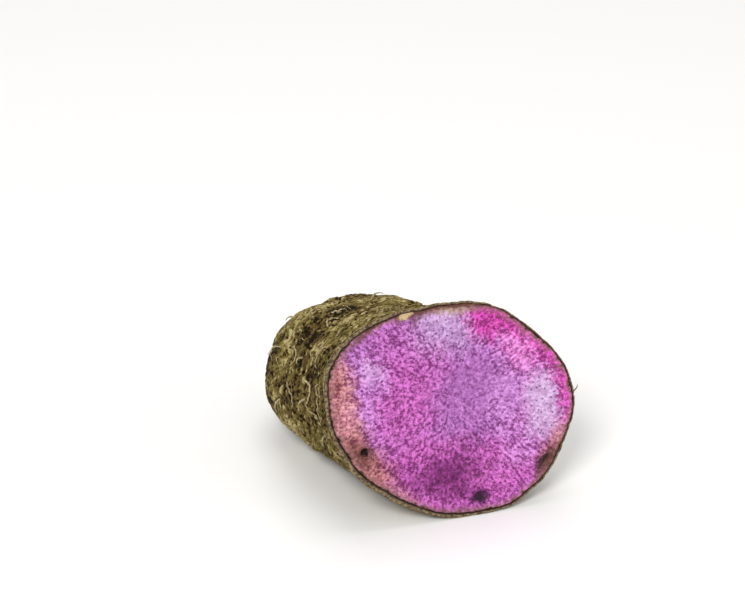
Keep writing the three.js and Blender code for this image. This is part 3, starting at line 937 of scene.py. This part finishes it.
class YAM_OT_flesh(bpy.types.Operator):
    """Builds the flesh, with the grain and the marks of its cut, as one closed body"""
    bl_idname = "yam.flesh"
    bl_label = "Flesh"

    MIDDLE_FROM_SKIN = 40.0

    def execute(self, context):
        settings = context.scene.yam_flesh
        edge = settings.mesh_edge / MM
        around = round(ring_length(0) / edge)
        rows = round(CUT_RADII.mean() / (edge * ROW_SPACING))
        rings = [CUT_CENTRE[None]]
        reaches = [np.full(1, self.MIDDLE_FROM_SKIN)]
        for row in range(1, rows + 1):
            share = row / rows
            angle = ring_angles(max(LEAST_IN_RING, round(around * share)))
            rim, _ = body_points(np.zeros(len(angle)), angle)
            width = lip_width(angle)
            start = edge_profile(rim, width + FLESH_STARTS, np.zeros(len(rim)))
            rings.append(mix(CUT_CENTRE, start, share))
            reaches.append(np.linalg.norm(rings[-1] - rim, axis=-1) - width)
        for from_skin, depth in FLESH_PROFILE:
            rings.append(edge_profile(rim, width + from_skin, np.full(len(rim), depth)))
            reaches.append(np.full(len(rim), from_skin))
        face = sum(len(ring) for ring in rings)
        inner = inner_rings(SKIN_THICKNESS + GAP_UNDER_SKIN)
        points, triangles, _ = closed_surface(rings + inner)
        from_skin = np.concatenate(reaches + [np.zeros(len(points) - face)])
        points[:face] += self.grain(settings, points[:face], from_skin[:face])
        piece = make_piece(
            "yam_flesh", points, triangles, [flesh_material(settings)], from_skin=from_skin)
        attach(piece)
        return {"FINISHED"}

    def grain(self, settings, points, from_skin):
        """How far each point of the cut stands out of its plane."""
        across, up = section_axes(0)
        out = np.cross(across, up)
        x = (points - CUT_CENTRE) @ across
        y = (points - CUT_CENTRE) @ up
        height = settings.grain_height / MM * rough_noise(points, 1.6, 2)
        height += 0.12 * noise(points, 11)
        for middle, sizes, turn, depth in FLESH_DIPS:
            turn = math.radians(turn)
            dx, dy = x - middle[0], y - middle[1]
            u = (dx * math.cos(turn) + dy * math.sin(turn)) / sizes[0]
            v = (dy * math.cos(turn) - dx * math.sin(turn)) / sizes[1]
            height -= depth * ease(1.6 - np.hypot(u, v) * (1 + 0.2 * noise(points, 1.5)))
        return (height * ease(from_skin / 1.2))[:, None] * out


class YAM_OT_rootlets(bpy.types.Operator):
    """Builds the short roots and the fine rootlets that cling to the skin"""
    bl_idname = "yam.rootlets"
    bl_label = "Rootlets"

    # Sides of a tube, steps along it, how far a curl lifts off the skin, and how far the fine
    # rootlets and every tube stay above the floor.
    SIDES = 6
    STEPS = 14
    CURL_LIFT = 0.7
    THREADS_ABOVE = 3
    TUBES_ABOVE = 0.02

    def execute(self, context):
        settings = context.scene.yam_rootlets
        draw = np.random.default_rng(7)
        leans = [RAISED_ROOT_LEANS_TO] + [ROOT_LEANS_TO] * (len(ROOTS) - 1)
        tubes = [self.short_root(settings, draw, lean, *root) for lean, root in zip(leans, ROOTS)]
        for thickness, places in CURLS:
            alongs, angles = curve(places, np.linspace(0, 1, self.STEPS)).T
            tubes.append(self.thread(context, alongs, np.radians(angles), self.CURL_LIFT, thickness))
        placed = len(tubes)
        while len(tubes) < placed + settings.count:
            alongs, angles = self.wandering(draw)
            points, _, _ = skin_points(context.scene.yam_skin, alongs, angles)
            if points[:, 2].min() > self.THREADS_ABOVE:
                lift, thickness = draw.uniform(0.15, 0.6), draw.uniform(0.7, 1.3)
                tubes.append(self.thread(context, alongs, angles, lift, thickness))
        points = np.concatenate([tube[0] for tube in tubes])
        firsts = np.cumsum([0] + [len(tube[0]) for tube in tubes])
        triangles = np.concatenate([tube[1] + first for tube, first in zip(tubes, firsts)])
        piece = make_piece("yam_rootlets", points, triangles, [dry_root_material(settings)])
        attach(piece)
        return {"FINISHED"}

    def tube(self, path, radii):
        """A closed tube along a path, with its frame carried smoothly from step to step."""
        tangents = unit(np.gradient(path, axis=0))
        side = unit(np.cross(tangents[0], (0.3, 0.5, 0.8)))
        rings = [path[:1]]
        angle = ring_angles(self.SIDES)[:, None]
        for middle, tangent, radius in zip(path, tangents, radii):
            side = unit(side - (side @ tangent) * tangent)
            other = np.cross(side, tangent)
            rings.append(middle + radius * (np.cos(angle) * side + np.sin(angle) * other))
        rings.append(path[-1:] + tangents[-1:] * radii[-1])
        points, triangles, _ = closed_surface(rings)
        points[:, 2] = np.maximum(points[:, 2], self.TUBES_ABOVE)
        return points, triangles

    def short_root(self, settings, draw, lean, along, degrees, length):
        """A root that leaves the skin straight and bends over, as the solid's roots do."""
        foot, out = body_point(along, degrees)
        over = unit(lean - (lean @ out) * out)
        aside = np.cross(out, over)
        part = np.linspace(0, 1, self.STEPS)[:, None]
        start, bend = foot - out, foot + out * length * 0.55
        end = foot + out * length * 0.5 + over * length * 0.75
        path = (1 - part) ** 2 * start + 2 * part * (1 - part) * bend + part ** 2 * end
        wave = np.sin(part * draw.uniform(7, 11) + draw.uniform(0, TURN))
        path = path + 0.35 * part * wave * aside
        thick = settings.root_radius / MM
        return self.tube(path, np.linspace(thick, thick * 0.3, self.STEPS))

    def wandering(self, draw):
        """The places along the body and the angles of a rootlet that wanders over the skin."""
        along, angle = draw.uniform(0.03, 0.97), draw.uniform(0, TURN)
        heading, curl, step = draw.uniform(0, TURN), draw.normal(0, 0.22), draw.uniform(0.3, 0.65)
        turns = heading + np.cumsum(draw.normal(curl, 0.16, self.STEPS))
        alongs = np.clip(along + np.cumsum(np.cos(turns)) * step / LENGTH, 0.012, 0.985)
        return alongs, angle + np.cumsum(np.sin(turns)) * step / UNROLLED_RADIUS

    def thread(self, context, alongs, angles, lift, thickness):
        """A fine rootlet that starts in the skin and lies over the given places of it."""
        points, _, _ = skin_points(context.scene.yam_skin, alongs, angles)
        out = unit(points - spine_points(np.minimum(alongs, FAN_STARTS_AT)))
        part = np.linspace(0, 1, self.STEPS)
        height = lift * np.sin(part * math.pi) ** 0.7 + 0.1 - 0.9 * (1 - ease(part * 6))
        thick = context.scene.yam_rootlets.thread_radius / MM * thickness
        radii = np.linspace(thick, thick * 0.5, self.STEPS)
        return self.tube(points + height[:, None] * out, radii)


class YAM_OT_stage(bpy.types.Operator):
    """Builds the floor, the soft lights and the camera"""
    bl_idname = "yam.stage"
    bl_label = "Stage"

    # The photograph's size, where the middle of the cut shows in it, and the camera's view of it.
    PICTURE = (745, 600)
    CUT_SHOWS_AT = (448.5, 408.5)
    AZIMUTH = math.radians(-17)
    ELEVATION = math.radians(27)
    DISTANCE = 0.8
    FOCAL_PIXELS = 1960
    SENSOR = 36.0
    FLOOR_SIZE = 6.0

    def execute(self, context):
        settings = context.scene.yam_stage
        low, high = CAD_BOX
        middle = (low + high) / 2
        self.floor(settings, middle, low.z)
        self.camera(context)
        # Name, direction from the yam, distance, size and power.
        lights = [
            ("key_light", (-0.55, -0.75, 0.9), 2.2, 0.7, settings.key_power),
            ("fill_light", (0.9, -0.7, 0.45), 2.2, 1.4, settings.fill_power),
            ("top_light", (0.1, 0.35, 1.0), 2.2, 1.4, settings.top_power),
        ]
        for name, direction, distance, size, power in lights:
            data = bpy.data.lights.new(name, "AREA")
            data.energy = power
            data.size = size
            light = bpy.data.objects.new(name, data)
            light.location = middle + Vector(direction).normalized() * distance
            light.rotation_euler = (light.location - middle).to_track_quat("Z", "Y").to_euler()
            context.scene.collection.objects.link(light)
        world = bpy.data.worlds.new("studio")
        world.use_nodes = True
        background = world.node_tree.nodes["Background"]
        background.inputs["Color"].default_value = (1, 1, 1, 1)
        background.inputs["Strength"].default_value = settings.sky_strength
        context.scene.world = world
        context.scene.view_settings.view_transform = "Standard"
        return {"FINISHED"}

    def floor(self, settings, middle, height):
        half = self.FLOOR_SIZE / 2 / MM
        corners = [(-half, -half), (half, -half), (half, half), (-half, half)]
        points = np.array([(x, y, 0) for x, y in corners]) + np.array([*middle.xy, height]) / MM
        triangles = np.array([(0, 1, 2), (0, 2, 3)])
        make_piece("floor", points, triangles, [floor_material(settings)])

    def camera(self, context):
        """Places the camera so that the middle of the cut shows where it does in the photo."""
        azimuth, elevation = self.AZIMUTH, self.ELEVATION
        back = Vector((math.sin(azimuth) * math.cos(elevation),
                       -math.cos(azimuth) * math.cos(elevation), math.sin(elevation)))
        right = Vector((math.cos(azimuth), math.sin(azimuth), 0))
        up = back.cross(right)
        aside = (self.CUT_SHOWS_AT[0] - self.PICTURE[0] / 2) / self.FOCAL_PIXELS * self.DISTANCE
        above = (self.PICTURE[1] / 2 - self.CUT_SHOWS_AT[1]) / self.FOCAL_PIXELS * self.DISTANCE
        data = bpy.data.cameras.new("camera")
        data.sensor_width = self.SENSOR
        data.lens = self.SENSOR * self.FOCAL_PIXELS / self.PICTURE[0]
        camera = bpy.data.objects.new("camera", data)
        place = Vector(CUT_CENTRE * MM) - aside * right - above * up + self.DISTANCE * back
        turned = Matrix((right, up, back)).transposed()
        camera.matrix_world = Matrix.Translation(place) @ turned.to_4x4()
        context.scene.collection.objects.link(camera)
        context.scene.camera = camera


class YAM_PT_sidebar(bpy.types.Panel):
    """Lists the yam's pieces with their settings"""
    bl_label = "Purple yam half"
    bl_space_type = "VIEW_3D"
    bl_region_type = "UI"
    bl_category = "Yam"

    def draw(self, context):
        for operator, settings in STEPS:
            box = self.layout.box()
            box.operator(operator.bl_idname)
            group = getattr(context.scene, settings)
            for name in group.__annotations__:
                box.prop(group, name)


STEPS = [
    (YAM_OT_skin, "yam_skin"),
    (YAM_OT_flesh, "yam_flesh"),
    (YAM_OT_rootlets, "yam_rootlets"),
    (YAM_OT_stage, "yam_stage"),
]
SETTINGS = {
    "yam_skin": YamSkinSettings,
    "yam_flesh": YamFleshSettings,
    "yam_rootlets": YamRootletSettings,
    "yam_stage": YamStageSettings,
}
CLASSES = [*SETTINGS.values(), *(operator for operator, _ in STEPS), YAM_PT_sidebar]


def register():
    for each in CLASSES:
        bpy.utils.register_class(each)
    for name, settings in SETTINGS.items():
        setattr(bpy.types.Scene, name, PointerProperty(type=settings))


def unregister():
    for name in SETTINGS:
        delattr(bpy.types.Scene, name)
    for each in reversed(CLASSES):
        bpy.utils.unregister_class(each)


def main():
    register()
    bpy.ops.yam.skin()
    bpy.ops.yam.flesh()
    bpy.ops.yam.rootlets()
    bpy.ops.yam.stage()


if __name__ == "__main__":
    main()
